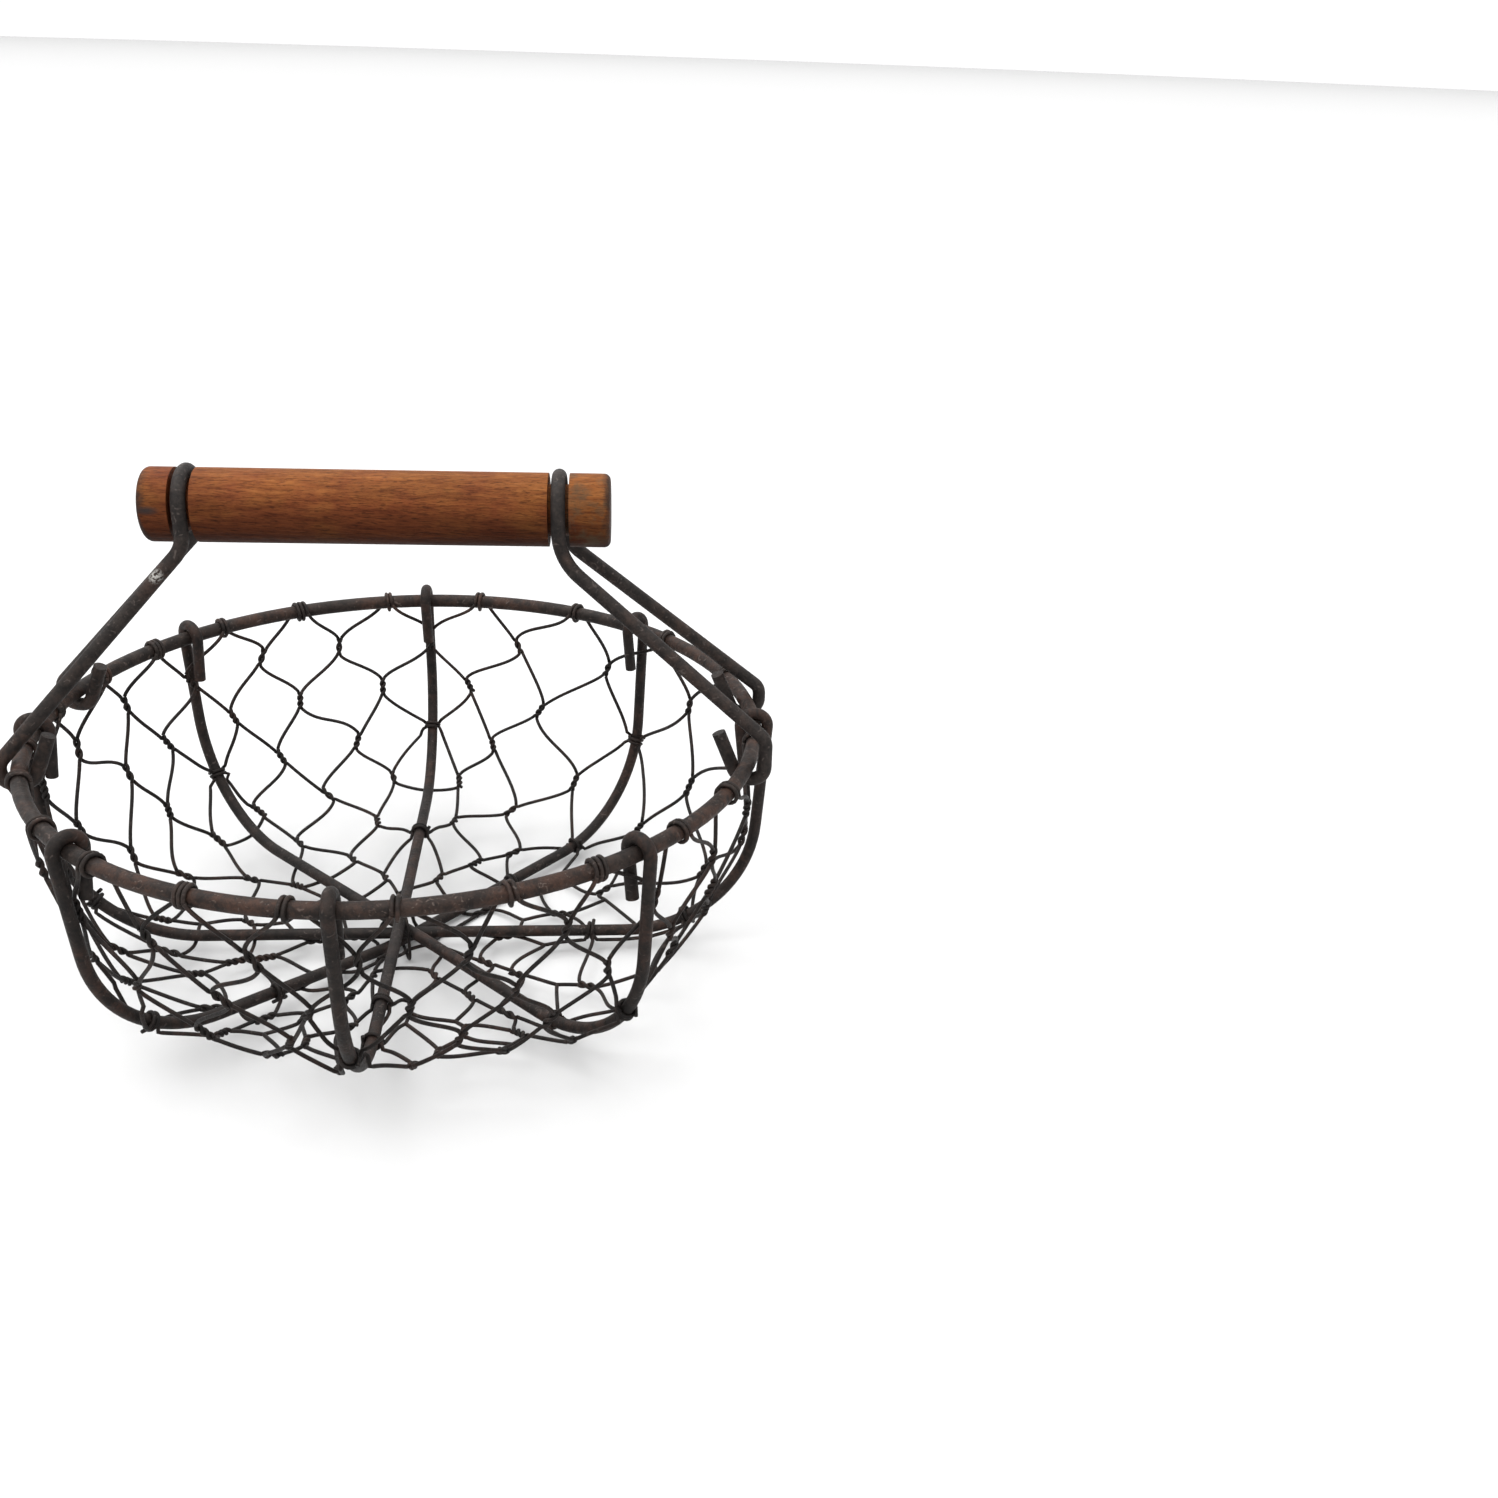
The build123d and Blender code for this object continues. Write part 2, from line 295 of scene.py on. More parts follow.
def row_place(k, azimuth):
    """Azimuth and depth of a twist or mesh in row k; the rows hang lower at the sides."""
    lag = (1 - math.cos(math.radians(azimuth - 118))) / 2
    stretch = 1 + 0.27 * smoothstep(0.02, 0.42, lag) * (1 - smoothstep(0.6, 0.85, lag))
    drift = 7.0 * smoothstep(0, 3, k) * math.exp(-((turn(50, azimuth) / 32) ** 2)) + 1.5
    return azimuth + drift, (14.8 + ROW_PITCH * (k - 1)) * stretch


def jitter(amount):
    return rng.uniform(-amount, amount)


coil_ring = sorted(a % 360 for a in RIM_COILS)
between = middles(coil_ring)
WALL_ROWS = 4  # rows of twists laid out one by one, before the base's

# Twists of the wall: centre azimuth and depth, by row and column. A twist in an odd row
# hangs between coils j and j + 1, one in an even row hangs under coil j.
wall_twists = {}
for k in range(1, WALL_ROWS + 1):
    for j, azimuth in enumerate(between if k % 2 else coil_ring):
        a, s = row_place(k, azimuth)
        wall_twists[k, j] = (a + jitter(1.0), s + jitter(1.3))

# Meshes of the base are the cells round seeds, below the last wall row. A seed's label is
# its column if it stands for a mesh of that row.
BASE_SEED = -1
ABOVE_ROW = -2
seeds = []
seed_label = []
last_row = [wall_twists[WALL_ROWS, j] for j in range(len(coil_ring))]
for j in range(len(coil_ring)):
    a0, s0 = last_row[j]
    a1, s1 = last_row[(j + 1) % len(coil_ring)]
    seeds.append(to_map(a0 + turn(a0, a1) / 2, (s0 + s1) / 2))
    seed_label.append(j)
for j, (azimuth, s) in enumerate(last_row):
    seeds.append(to_map(azimuth, s - 1.6 * ROW_PITCH))
    seed_label.append(ABOVE_ROW)
# Rings of base meshes, from the wall towards the hub: ring, how many, first azimuth
BASE_RINGS = ((1, 16, 95), (2, 14, 107), (3, 10, 93), (4, 5, 68))
for ring, count, phase in BASE_RINGS:
    for n in range(count):
        azimuth = phase + 360 * n / count + jitter(3)
        first = row_place(WALL_ROWS, azimuth)[1]
        seeds.append(to_map(azimuth, first + (TOTAL - 11 - first) * ring / 4.2 + jitter(1.5)))
        seed_label.append(BASE_SEED)
# The netting is bunched where it is folded under the front ribs
FRONT_FOLDS = (
    (236, 92), (247, 82), (252, 96), (262, 88), (266, 103),
    (283, 90), (290, 80), (296, 96), (306, 88), (312, 101),
)
seeds += [to_map(azimuth, s) for azimuth, s in FRONT_FOLDS] + [Vector((0.0, 0.0))]
seed_label += [BASE_SEED] * (len(FRONT_FOLDS) + 1)

triangles = geometry.delaunay_2d_cdt(seeds, [], [], 0, 1e-9)
tri_points, tri_faces, tri_sources = triangles[0], triangles[2], triangles[3]


def circumcentre(a, b, c):
    """Centre of the circle through three points."""
    aa, bb, cc = a.length_squared, b.length_squared, c.length_squared
    d = 2 * (a.x * (b.y - c.y) + b.x * (c.y - a.y) + c.x * (a.y - b.y))
    x = aa * (b.y - c.y) + bb * (c.y - a.y) + cc * (a.y - b.y)
    y = aa * (c.x - b.x) + bb * (a.x - c.x) + cc * (b.x - a.x)
    return Vector((x / d, y / d))


# Corners of the base's meshes. One between two seeds of the last wall row is the lower
# end of the wall twist there.
corner_place = []
wall_end = {}
for face in tri_faces:
    labels = [seed_label[tri_sources[v][0]] for v in face]
    corner_place.append(from_map(circumcentre(*(tri_points[v] for v in face))))
    if ABOVE_ROW in labels:
        wall_end[len(corner_place) - 1] = None
        continue
    rim_side = sorted(n for n in labels if n >= 0)
    if len(rim_side) == 2:
        low, high = rim_side
        wall_end[len(corner_place) - 1] = 0 if high - low > 1 else high
shared = {}
for index, face in enumerate(tri_faces):
    for a, b in ((0, 1), (1, 2), (2, 0)):
        shared.setdefault(frozenset((face[a], face[b])), []).append(index)
links = [
    tuple(pair) for pair in shared.values()
    if len(pair) == 2 and not any(wall_end.get(c, 0) is None for c in pair)
]


def meridional(a, b):
    """How closely a link runs down the bowl, from 0 to 1, and its length."""
    (az_a, s_a), (az_b, s_b) = corner_place[a], corner_place[b]
    radius = float(np.interp((s_a + s_b) / 2, mean_s, mean_r))
    across = math.radians(turn(az_a, az_b)) * radius
    length = math.hypot(across, s_b - s_a) + 1e-9
    return abs(s_b - s_a) / length, length


# A short link that runs down the bowl is where two wires are twisted together
partner = {}
for a, b in sorted(links, key=lambda ab: -(meridional(*ab)[0] - 0.02 * meridional(*ab)[1])):
    if a in partner or b in partner or a in wall_end or b in wall_end:
        continue
    if meridional(a, b)[0] > 0.45:
        partner[a] = b
        partner[b] = a


# ---------------------------------------------------------------- ribs as guides

rib_samples = []
for i, (azimuth, _, _) in enumerate(HALF_RIBS):
    for s in np.arange(0, TOTAL - 4, 1.0):
        radius, height, out, rise = profile_at(i, s / TOTAL)
        a = math.radians(azimuth)
        point = place(radius, azimuth, height)
        normal = Vector((out * math.cos(a), out * math.sin(a), rise)).normalized()
        side = Vector((-math.sin(a), math.cos(a), 0))
        rib_samples.append((point, normal, side, s))
sample_points = np.array([tuple(q[0]) for q in rib_samples])


def nearest_rib(p):
    """Nearest point of a rib: its sample, the height outside it and the distance beside it."""
    index = int(np.argmin(((sample_points - np.array(p)) ** 2).sum(axis=1)))
    point, normal, side, _ = rib_samples[index]
    v = p - point
    return rib_samples[index], v.dot(normal), v.dot(side)


def clear_of_ribs(p, reach=5.0):
    """Moves a netting point off the rib it would run through."""
    (_, normal, _, s), high, beside = nearest_rib(p)
    weight = math.exp(-((beside / reach) ** 2))
    need = (RIB_WIRE + NET_WIRE) / 2 + 0.1
    if s > CROSSING_MIDDLE:
        wanted = max(high, need)
    else:
        wanted = min(high, -need)
    return p + normal * ((wanted - high) * weight)


# ---------------------------------------------------------------- netting wires

net = Wires(8)

# Where the wires meet at a corner of the mesh: "twist" or "wrap", the point, the way out
# of it, the side its two wires lie to and how far they lie to it.
ends = {}


def add_twist(top, bottom, normal):
    """Two wires twisted together; returns the twist's axis and the side its ends lie to."""
    axis = (bottom - top).normalized()
    side = normal.cross(axis).normalized()
    face = axis.cross(side)
    length = (bottom - top).length
    half_turns = rng.choice((2, 2, 3))
    steps = 6 * half_turns
    for phase in (0.0, math.pi):
        points = []
        for n in range(steps + 1):
            t = n / steps
            angle = phase + math.pi * half_turns * t
            spoke = side * math.cos(angle) + face * math.sin(angle)
            points.append(top + axis * (length * t) + spoke * TWIST_RADIUS)
        net.add(points, NET_WIRE / 2)
    return axis, side


def add_wrap(sample, turns):
    """Netting wire wound round a rib, with a cut end; returns its axis and radius."""
    point, normal, side, _ = sample
    axis = normal.cross(side).normalized()
    r = (RIB_WIRE + NET_WIRE) / 2 + WRAP_GAP
    pitch = NET_WIRE * 1.08
    points = []
    steps = int(turns * 16)
    start = rng.uniform(0, 2 * math.pi)
    for n in range(steps + 1):
        angle = start + 2 * math.pi * turns * n / steps
        along = (n / steps - 0.5) * turns * pitch
        spoke = side * math.cos(angle) + normal * math.sin(angle)
        points.append(point + axis * along + spoke * r)
    tail = (points[-1] - points[-2]).normalized()
    points.append(points[-1] + tail * 1.0)
    points.append(points[-1] + tail * 0.8)
    net.add(points, NET_WIRE / 2)
    return axis, r


def add_joint(upper, lower, place_up, place_down):
    """The twist, or the wrap round a rib, between two corners of the mesh."""
    p_u, n_u = surface(*place_up)
    p_l, n_l = surface(*place_down)
    middle = (p_u + p_l) / 2
    normal = (n_u + n_l).normalized()
    sample, high, beside = nearest_rib(middle)
    point, _, side, s = sample
    if abs(beside) < 5.0 and abs(high) < 4.5 and 22 < s < 118:
        axis, r = add_wrap(sample, rng.uniform(1.4, 2.2))
        down = axis if axis.dot(p_l - p_u) > 0 else -axis
        ends[upper] = ("wrap", point - down * 0.8, -down, side, r)
        ends[lower] = ("wrap", point + down * 0.8, down, side, r)
        return
    axis = (p_l - p_u).normalized()
    length = TWIST_LENGTH * rng.uniform(0.85, 1.15)
    top = clear_of_ribs(middle - axis * length / 2)
    bottom = clear_of_ribs(middle + axis * length / 2)
    axis, side = add_twist(top, bottom, normal)
    ends[upper] = ("twist", top, -axis, side, TWIST_RADIUS)
    ends[lower] = ("twist", bottom, axis, side, TWIST_RADIUS)


for (k, j), (azimuth, s) in wall_twists.items():
    lean = jitter(1.2)
    add_joint(("up", k, j), ("down", k, j), (azimuth - lean, s - 3), (azimuth + lean, s + 3))
for a, b in sorted(partner.items()):
    if a < b:
        upper, lower = (a, b) if corner_place[a][1] < corner_place[b][1] else (b, a)
        add_joint(upper, lower, corner_place[upper], corner_place[lower])
for corner, column in wall_end.items():
    if column is not None:
        ends[corner] = ends["down", WALL_ROWS, column]


def leave(corner, towards):
    """Where a single wire starts at a corner of the mesh, and the way it sets off."""
    if corner in ends:
        kind, point, out, side, r = ends[corner]
        sign = 1 if side.dot(towards - point) > 0 else -1
        heading = (towards - point).normalized()
        way = (out * 0.5 + heading).normalized()
        if kind == "wrap":
            way = (heading + out * 0.2).normalized()
        return point + side * (sign * r), way
    point = clear_of_ribs(surface(*corner_place[corner])[0])
    return point, (towards - point).normalized()


def centre_of(corner):
    return ends[corner][1] if corner in ends else surface(*corner_place[corner])[0]


def wire_between(p0, way0, p1, way1):
    """A single wire from one corner of the mesh to the next, bowed a little."""
    gap = (p1 - p0).length
    bow0 = gap * rng.uniform(0.2, 0.4)
    bow1 = gap * rng.uniform(0.2, 0.4)
    points = bezier(p0, p0 + way0 * bow0, p1 + way1 * bow1, p1, 14)
    points = [points[0]] + [clear_of_ribs(p) for p in points[1:-1]] + [points[-1]]
    net.add(points, NET_WIRE / 2)


def add_rim_coil(azimuth):
    """Wire end wound round the rim; returns the ends of its turns, clockwise one first."""
    a = math.radians(azimuth)
    out = Vector((math.cos(a), math.sin(a), 0))
    run = Vector((-math.sin(a), math.cos(a), 0))
    centre = out * RIM_RADIUS + Vector((0, 0, RIM_HEIGHT))
    r = (RIM_WIRE + NET_WIRE) / 2 + WRAP_GAP
    turns = rng.choice((1.5, 1.5, 2.5))
    pitch = NET_WIRE * rng.uniform(1.05, 1.3)
    hand = rng.choice((-1, 1))
    points = []
    steps = int(turns * 18)
    for n in range(steps + 1):
        t = n / steps
        angle = math.pi - 2 * math.pi * turns * t
        loose = r + 0.12 * abs(math.sin(2.5 * angle + azimuth))
        along = hand * (t - 0.5) * turns * pitch
        spoke = out * math.cos(angle) + Vector((0, 0, 1)) * math.sin(angle)
        points.append(centre + run * along + spoke * loose)
    net.add(points, NET_WIRE / 2)
    return (points[0], points[-1]) if hand > 0 else (points[-1], points[0])


coil_ends = [add_rim_coil(azimuth) for azimuth in coil_ring]

columns = len(coil_ring)
for j in range(columns):
    behind, ahead = coil_ends[j]
    for start, corner in ((ahead, ("up", 1, j)), (behind, ("up", 1, (j - 1) % columns))):
        other, way = leave(corner, start)
        head = (Vector((0, 0, -0.8)) + (other - start).normalized()).normalized()
        wire_between(start, head, other, way)
wall_links = []
for k in range(1, WALL_ROWS):
    for j in range(columns):
        for step in (0, 1) if k % 2 else (-1, 0):
            wall_links.append((("down", k, j), ("up", k + 1, (j + step) % columns)))
base_links = [(a, b) for a, b in links if partner.get(a) != b]
for a, b in wall_links + base_links:
    p0, way0 = leave(a, centre_of(b))
    p1, way1 = leave(b, centre_of(a))
    wire_between(p0, way0, p1, way1)

netting = net.build("netting_wires")
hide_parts(*[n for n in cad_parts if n.startswith("net_")])
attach(netting, "basket")


# ---------------------------------------------------------------- materials

class Graph:
    """Short names for building a material's nodes."""

    def __init__(self, name):
        self.material = bpy.data.materials.new(name)
        self.material.use_nodes = True
        self.nodes = self.material.node_tree.nodes
        self.links = self.material.node_tree.links
        self.shader = self.nodes["Principled BSDF"]

    def node(self, kind, **settings):
        made = self.nodes.new(kind)
        for key, value in settings.items():
            if key in made.inputs:
                made.inputs[key].default_value = value
            else:
                setattr(made, key, value)
        return made

    def link(self, output, target):
        self.links.new(output, target)

    def coords(self, scale=(1, 1, 1), tilt=(0, 0, 0)):
        source = self.node("ShaderNodeTexCoord")
        mapping = self.node("ShaderNodeMapping", vector_type="TEXTURE")
        mapping.inputs["Scale"].default_value = [1 / x for x in scale]
        mapping.inputs["Rotation"].default_value = tilt
        self.link(source.outputs["Object"], mapping.inputs["Vector"])
        return mapping.outputs["Vector"]

    def noise(self, vector, scale, detail=4.0, rough=0.55, distortion=0.0):
        made = self.node("ShaderNodeTexNoise")
        made.inputs["Scale"].default_value = scale
        made.inputs["Detail"].default_value = detail
        made.inputs["Roughness"].default_value = rough
        made.inputs["Distortion"].default_value = distortion
        self.link(vector, made.inputs["Vector"])
        return made.outputs["Fac"]

    def ramp(self, value, *stops):
        made = self.node("ShaderNodeValToRGB")
        elements = made.color_ramp.elements
        while len(elements) < len(stops):
            elements.new(0.5)
        for element, (position, colour) in zip(elements, stops):
            element.position = position
            element.color = (*colour, 1) if len(colour) == 3 else colour
        self.link(value, made.inputs["Fac"])
        return made.outputs["Color"]

    def mix(self, factor, first, second, blend="MIX"):
        made = self.node("ShaderNodeMix", data_type="RGBA", blend_type=blend)
        colour_a, colour_b, result = made.inputs[6], made.inputs[7], made.outputs[2]
        if isinstance(factor, (int, float)):
            made.inputs[0].default_value = factor
        else:
            self.link(factor, made.inputs[0])
        for socket, value in ((colour_a, first), (colour_b, second)):
            if isinstance(value, tuple):
                socket.default_value = (*value, 1)
            else:
                self.link(value, socket)
        return result

    def maths(self, operation, first, second=0.0, third=0.5, clamp=False):
        made = self.node("ShaderNodeMath", operation=operation, use_clamp=clamp)
        for socket, value in zip(made.inputs, (first, second, third)):
            if isinstance(value, (int, float)):
                socket.default_value = value
            else:
                self.link(value, socket)
        return made.outputs["Value"]

    def span(self, value, low, high, first, last):
        """Runs from first to last while the value goes from low to high."""
        made = self.node("ShaderNodeMapRange")
        made.inputs["From Min"].default_value = low
        made.inputs["From Max"].default_value = high
        made.inputs["To Min"].default_value = first
        made.inputs["To Max"].default_value = last
        self.link(value, made.inputs["Value"])
        return made.outputs["Result"]

    def distance(self, vector, place):
        made = self.node("ShaderNodeVectorMath", operation="DISTANCE")
        made.inputs[1].default_value = place
        self.link(vector, made.inputs[0])
        return made.outputs["Value"]

    def bump(self, height, strength, distance, before=None):
        made = self.node("ShaderNodeBump")
        made.inputs["Strength"].default_value = strength
        made.inputs["Distance"].default_value = distance
        self.link(height, made.inputs["Height"])
        if before is not None:
            self.link(before, made.inputs["Normal"])
        return made.outputs["Normal"]


def grey(x):
    return (x, x, x)


def steel(name, dark, light, rust, rust_share, seed=0.0, rim_like=None, chip=None):
    """Dark oxidised wire: mottled grey brown with rust blooms, scuffs and fine pitting."""
    g = Graph(name)
    vector = g.coords()
    broad = g.noise(vector, 42 + seed, 3)
    patches = g.noise(vector, 240 + seed, 5, 0.65, 0.4)
    fine = g.noise(vector, 900 + seed, 5, 0.75)
    scuffs = g.noise(vector, 520 + seed, 2, 0.4, 1.5)
    tone = g.ramp(patches, (0.36, dark), (0.62, light))
    bloom = 0.56 - rust_share * 0.2
    rusty = g.ramp(broad, (bloom, grey(0.0)), (bloom + 0.14, grey(1.0)))
    speck = g.ramp(patches, (0.42, grey(0.15)), (0.58, grey(1.0)))
    amount = g.maths("MULTIPLY", rusty, speck)
    amount = g.maths("MULTIPLY", amount, 0.75 * rust_share + 0.2)
    colour = g.mix(amount, tone, rust)
    grime = g.ramp(fine, (0.36, grey(0.55)), (0.60, grey(1.15)))
    colour = g.mix(1.0, colour, grime, "MULTIPLY")
    bright = g.ramp(scuffs, (0.63, grey(0.0)), (0.73, grey(0.3 + 0.65 * rust_share)))
    colour = g.mix(bright, colour, tuple(3.0 * c + 0.012 for c in light))
    if rim_like:
        # The turns round the rim have rusted with it
        where = g.node("ShaderNodeSeparateXYZ")
        g.link(vector, where.inputs[0])
        near_rim = g.span(
            where.outputs["Z"], (RIM_HEIGHT - 8) * MM, (RIM_HEIGHT - 2) * MM, 1.0, rim_like
        )
        colour = g.mix(1.0, colour, near_rim, "MULTIPLY")
    if chip:
        # Bare bright metal where the surface is chipped
        away = g.distance(vector, [x * MM for x in chip])
        near = g.span(away, 0.8 * MM, 2.4 * MM, 1.0, 0.0)
        flakes = g.ramp(g.noise(vector, 1900, 3, 0.6), (0.46, grey(0.0)), (0.52, grey(1.0)))
        colour = g.mix(g.maths("MULTIPLY", near, flakes), colour, (0.33, 0.32, 0.30))
    g.link(colour, g.shader.inputs["Base Color"])
    rough = g.ramp(fine, (0.3, grey(0.48)), (0.7, grey(0.72)))
    g.link(rough, g.shader.inputs["Roughness"])
    g.shader.inputs["Metallic"].default_value = 0.3
    g.shader.inputs["Specular IOR Level"].default_value = 0.24
    pits = g.bump(fine, 0.8, 0.00022)
    waves = g.bump(patches, 0.55, 0.0005, pits)
    g.link(waves, g.shader.inputs["Normal"])
    return g


# Dark, light and rust colours, and how much of the wire is rusty
rim_steel = steel(
    "rim_wire_steel",
    (0.0085, 0.0059, 0.0050), (0.0255, 0.0180, 0.0148), (0.048, 0.0225, 0.0145), 0.7,
)
rib_steel = steel(
    "rib_wire_steel",
    (0.0065, 0.005, 0.0044), (0.0185, 0.0135, 0.0115), (0.042, 0.0195, 0.013), 0.5,
    seed=5,
)
bail_steel = steel(
    "bail_wire_steel",
    (0.0095, 0.0075, 0.0068), (0.026, 0.0200, 0.0175), (0.044, 0.0235, 0.0165), 0.4,
    seed=9, chip=(-59.7, -14.8, 126.7),
)
net_steel = steel(
    "netting_wire_steel",
    (0.0045, 0.0034, 0.003), (0.0125, 0.0090, 0.0075), (0.030, 0.0140, 0.0095), 0.45,
    seed=3, rim_like=2.1,
)


MOTTLE_REACH = 12.5  # from the grip's right end into its groove


def wood():
    """Wood: fine slightly skewed grain, pores, a painted highlight on top, painted shade underneath,
    dark stained ends.
    """
    low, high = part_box("grip")
    middle_y = (low.y + high.y) / 2
    middle_z = (low.z + high.z) / 2
    g = Graph("grip_turned_wood")
    plain = g.coords()
    tilt = (0, 0.05, 0.02)
    streaks = g.noise(g.coords((0.075, 1, 1), tilt), 820, 6, 0.70, 0.25)
    bands = g.noise(g.coords((0.10, 1, 1), tilt), 130, 3, 0.5, 0.6)
    pores = g.noise(g.coords((0.10, 1, 1), tilt), 3400, 3, 0.6)
    ticks = g.noise(g.coords((0.13, 1, 1), tilt), 2700, 2, 0.5)
    cloud = g.noise(plain, 60, 4, 0.6)
    red = g.ramp(
        streaks,
        (0.30, (0.066, 0.015, 0.0052)), (0.50, (0.118, 0.031, 0.0098)), (0.74, (0.163, 0.048, 0.0150)),
    )
    golden = g.ramp(
        streaks,
        (0.30, (0.092, 0.026, 0.0068)), (0.50, (0.160, 0.053, 0.0130)), (0.74, (0.240, 0.090, 0.0240)),
    )

    # Golden on top and towards the right, red elsewhere: a painted highlight, broken up by cloudy tone
    # of the wood
    where = g.node("ShaderNodeSeparateXYZ")
    source = g.node("ShaderNodeTexCoord")
    g.link(source.outputs["Object"], where.inputs[0])
    rise = g.maths("MULTIPLY", g.maths("SUBTRACT", where.outputs["Z"], middle_z), 14.0)
    along = g.maths("MULTIPLY", where.outputs["X"], 1.6)
    golden_tone_and_painted_highlight = g.maths("ADD", g.maths("ADD", cloud, rise), along)
    colour = g.mix(g.ramp(golden_tone_and_painted_highlight, (0.42, grey(0.0)), (0.66, grey(1.0))), red, golden)
    colour = g.mix(1.0, colour, g.ramp(bands, (0.34, grey(0.82)), (0.64, grey(1.10))), "MULTIPLY")
    colour = g.mix(1.0, colour, g.ramp(pores, (0.38, grey(0.62)), (0.48, grey(1.0))), "MULTIPLY")
    colour = g.mix(1.0, colour, g.ramp(ticks, (0.33, grey(0.55)), (0.42, grey(1.0))), "MULTIPLY")

    # Painted highlight on top and painted shade underneath: brighter on top, darker underneath
    shade = g.span(where.outputs["Z"], middle_z - 9 * MM, middle_z + 9 * MM, 0.28, 1.12)
    colour = g.mix(1.0, colour, shade, "MULTIPLY")

    # Grey mottling on the right head, past its groove
    mottle = g.ramp(g.noise(plain, 190, 5, 0.7), (0.47, grey(0.0)), (0.64, grey(0.6)))
    past = g.maths("GREATER_THAN", where.outputs["X"], high.x - MOTTLE_REACH * MM)
    colour = g.mix(g.maths("MULTIPLY", mottle, past), colour, (0.052, 0.040, 0.024))

    # Growth rings on the cut ends, about a pith off the grip's axis
    flat = g.node("ShaderNodeVectorMath", operation="MULTIPLY")
    flat.inputs[1].default_value = (0.0, 1.0, 1.0)
    g.link(source.outputs["Object"], flat.inputs[0])
    from_pith = g.distance(
        flat.outputs["Vector"], (0.0, middle_y + 6 * MM, middle_z - 11 * MM)
    )
    wander = g.maths("MULTIPLY", g.noise(plain, 120, 3), 9.0)
    phase = g.maths("ADD", g.maths("MULTIPLY", from_pith, 3300.0), wander)
    ring_tone = g.maths("MULTIPLY_ADD", g.maths("SINE", phase), 0.5)
    end_grain = g.ramp(ring_tone, (0.0, (0.026, 0.0125, 0.0075)), (1.0, (0.062, 0.028, 0.0135)))
    specks = g.ramp(g.noise(plain, 1500, 3, 0.6), (0.40, grey(0.45)), (0.52, grey(1.0)))
    end_grain = g.mix(1.0, end_grain, specks, "MULTIPLY")

    # Stain creeping in from both cut ends, broken up by noise
    stain_noise = g.noise(plain, 210, 4, 0.6)
    for edge, inward in ((low.x, 1), (high.x, -1)):
        from_edge = g.maths("SUBTRACT", where.outputs["X"], edge)
        depth = g.maths("MULTIPLY", from_edge, inward * 1000.0)
        ragged = g.maths("MULTIPLY", g.maths("SUBTRACT", stain_noise, 0.5), 7.0)
        near_end = g.span(g.maths("ADD", depth, ragged), 0.7, 2.6, 1.0, 0.0)
        weight = g.maths("MULTIPLY", near_end, 0.8, clamp=True)
        colour = g.mix(weight, colour, (0.017, 0.012, 0.010))
        cut = g.maths("LESS_THAN", depth, 0.15)
        colour = g.mix(cut, colour, end_grain)

    # One dark burn on the front of the left head, 2.6 times as long as it is high
    burn_z = middle_z + 1.2 * MM
    squeezed = g.node("ShaderNodeVectorMath", operation="MULTIPLY_ADD")
    squeezed.inputs[1].default_value = (1.0, 1.0, 2.6)
    squeezed.inputs[2].default_value = (0.0, 0.0, -1.6 * burn_z)
    g.link(source.outputs["Object"], squeezed.inputs[0])
    from_burn = g.distance(
        squeezed.outputs["Vector"], (low.x + 2.8 * MM, middle_y - 9.8 * MM, burn_z)
    )
    burn = g.span(from_burn, 1.8 * MM, 4.2 * MM, 0.9, 0.0)
    colour = g.mix(burn, colour, (0.020, 0.017, 0.017))

    g.link(colour, g.shader.inputs["Base Color"])
    rough = g.ramp(streaks, (0.3, grey(0.62)), (0.7, grey(0.50)))
    g.link(rough, g.shader.inputs["Roughness"])
    g.shader.inputs["Specular IOR Level"].default_value = 0.06
    grain = g.bump(pores, 0.5, 0.00022)
    ridges = g.bump(streaks, 0.35, 0.00035, grain)
    g.link(ridges, g.shader.inputs["Normal"])
    return g


grip_wood = wood()


MATERIALS = {
    "rim": rim_steel, "rib_": rib_steel, "bail_": bail_steel, "grip": grip_wood,
    "hub_tie": net_steel, "net_": net_steel,
}
for name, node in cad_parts.items():
    graph = next(graph for start, graph in MATERIALS.items() if name.startswith(start))
    node.data.materials.clear()
    node.data.materials.append(graph.material)
netting.data.materials.append(net_steel.material)


# ---------------------------------------------------------------- floor, light, camera

STUDIO_RADIUS = 12.0  # metres
STUDIO_HEIGHT = 6.2
STUDIO_SIDES = 48
studio_angles = [2 * math.pi * n / STUDIO_SIDES for n in range(STUDIO_SIDES)]
studio_ring = [(STUDIO_RADIUS * math.cos(a), STUDIO_RADIUS * math.sin(a)) for a in studio_angles]


def stage_piece(name, vertices, faces, material):
    """A plain sheet of the studio, no part of the basket."""
    sheet = bpy.data.meshes.new(name)
    sheet.from_pydata(vertices, [], faces)
    sheet.materials.append(material)
    made = bpy.data.objects.new(name, sheet)
    bpy.context.scene.collection.objects.link(made)


paper = Graph("floor_paper")
paper.shader.inputs["Base Color"].default_value = (0.52, 0.52, 0.52, 1)
paper.shader.inputs["Roughness"].default_value = 0.9
paper.shader.inputs["Specular IOR Level"].default_value = 0.0
ground_ring = [(x, y, 0) for x, y in studio_ring]
stage_piece("floor", ground_ring, [tuple(range(STUDIO_SIDES))], paper.material)

glow = Graph("backdrop_paper")
glow.shader.inputs["Base Color"].default_value = (0, 0, 0, 1)
glow.shader.inputs["Emission Color"].default_value = (1, 1, 1, 1)
glow.shader.inputs["Emission Strength"].default_value = 1.0
wall_faces = []
for n in range(STUDIO_SIDES):
    after = (n + 1) % STUDIO_SIDES
    wall_faces.append((n, after, STUDIO_SIDES + after, STUDIO_SIDES + n))
high_ring = [(x, y, STUDIO_HEIGHT) for x, y in studio_ring]
stage_piece("backdrop", ground_ring + high_ring, wall_faces, glow.material)

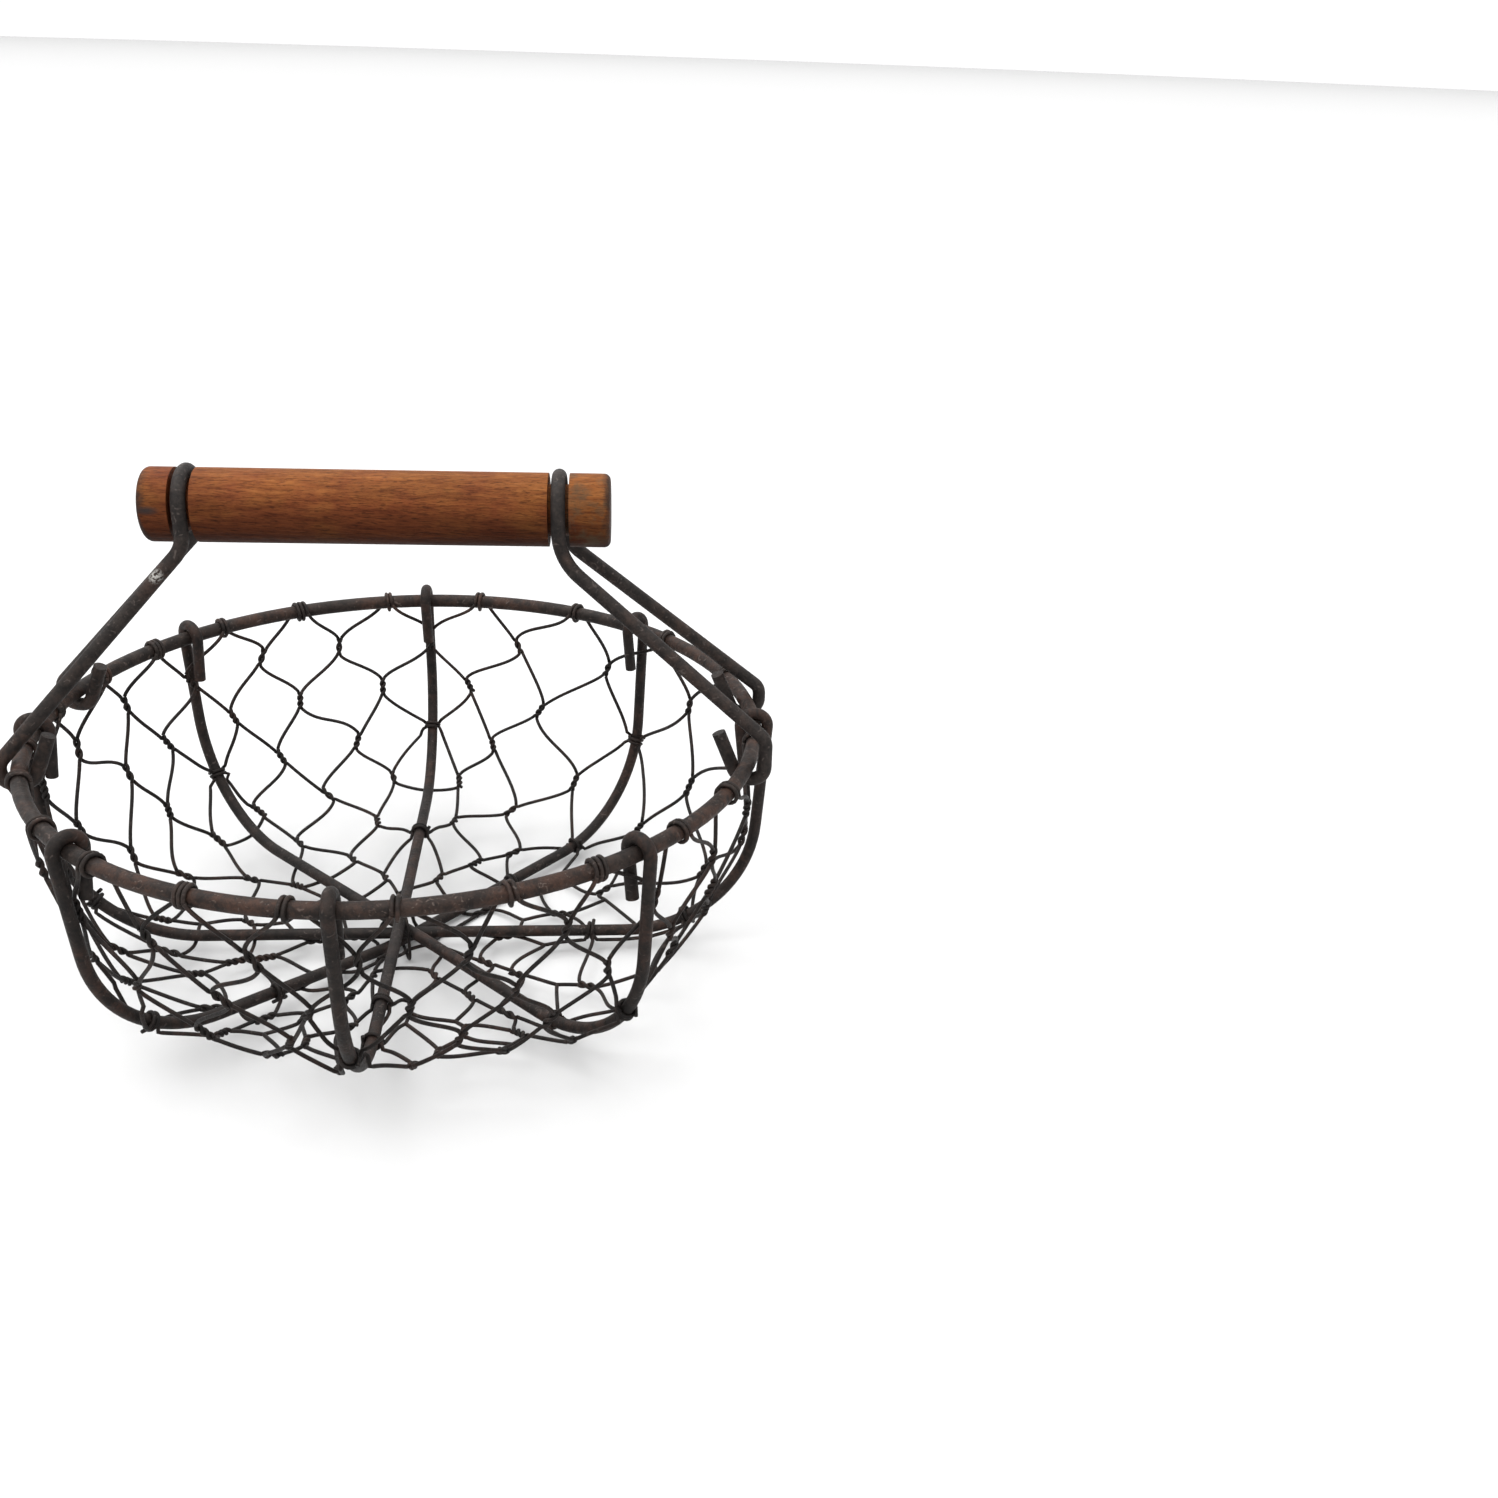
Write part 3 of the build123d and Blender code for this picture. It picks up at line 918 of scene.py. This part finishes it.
# A softbox sky: bright overhead, dim towards the horizon
world = bpy.data.worlds.new("studio")
bpy.context.scene.world = world
world.use_nodes = True
sky = world.node_tree.nodes
sky_links = world.node_tree.links
direction = sky.new("ShaderNodeTexCoord")
split_up = sky.new("ShaderNodeSeparateXYZ")
height_ramp = sky.new("ShaderNodeValToRGB")
dim, bright = height_ramp.color_ramp.elements
dim.position, dim.color = 0.05, (0.16, 0.16, 0.16, 1)
bright.position, bright.color = 0.85, (1, 1, 1, 1)
sky_links.new(direction.outputs["Generated"], split_up.inputs[0])
sky_links.new(split_up.outputs["Z"], height_ramp.inputs["Fac"])
sky_links.new(height_ramp.outputs["Color"], sky["Background"].inputs["Color"])
sky["Background"].inputs["Strength"].default_value = 2.6


def area_light(name, position, target, size, power):
    """A soft lamp, in metres and watts, aimed at the target."""
    light = bpy.data.lights.new(name, "AREA")
    light.shape = "RECTANGLE"
    light.size, light.size_y = size
    light.energy = power
    obj = bpy.data.objects.new(name, light)
    bpy.context.scene.collection.objects.link(obj)
    obj.location = position
    aim = Vector(target) - Vector(position)
    obj.rotation_euler = aim.to_track_quat("-Z", "Y").to_euler()


area_light("key", (-0.5, -0.4, 1.3), (0, 0, 0.05), (0.7, 0.7), 6.0)
area_light("rear_left", (-0.7, 0.8, 1.1), (0, 0, 0.05), (0.6, 0.6), 4.0)

camera_data = bpy.data.cameras.new("camera")
camera = bpy.data.objects.new("camera", camera_data)
bpy.context.scene.collection.objects.link(camera)
camera_data.sensor_fit = "HORIZONTAL"
camera_data.sensor_width = 36.0
camera_data.lens = 36.05
camera_data.clip_start = 0.01
camera_data.clip_end = 50
CAMERA_PLACE = (58.99, -404.36, 187.97 + RIM_HEIGHT)
yaw, pitch, roll = -0.1051, 0.451899, 0.0369247
right = Vector((math.cos(yaw), math.sin(yaw), 0))
ahead = Vector((-math.sin(yaw), math.cos(yaw), 0))
forward = ahead * math.cos(pitch) - Vector((0, 0, math.sin(pitch)))
up = right.cross(forward)
turned_right = right * math.cos(roll) + up * math.sin(roll)
turned_up = up * math.cos(roll) - right * math.sin(roll)
matrix = Matrix((turned_right, turned_up, -forward)).transposed().to_4x4()
matrix.translation = Vector(CAMERA_PLACE) * MM
camera.matrix_world = matrix
bpy.context.scene.camera = camera
bpy.context.scene.view_settings.view_transform = "Standard"
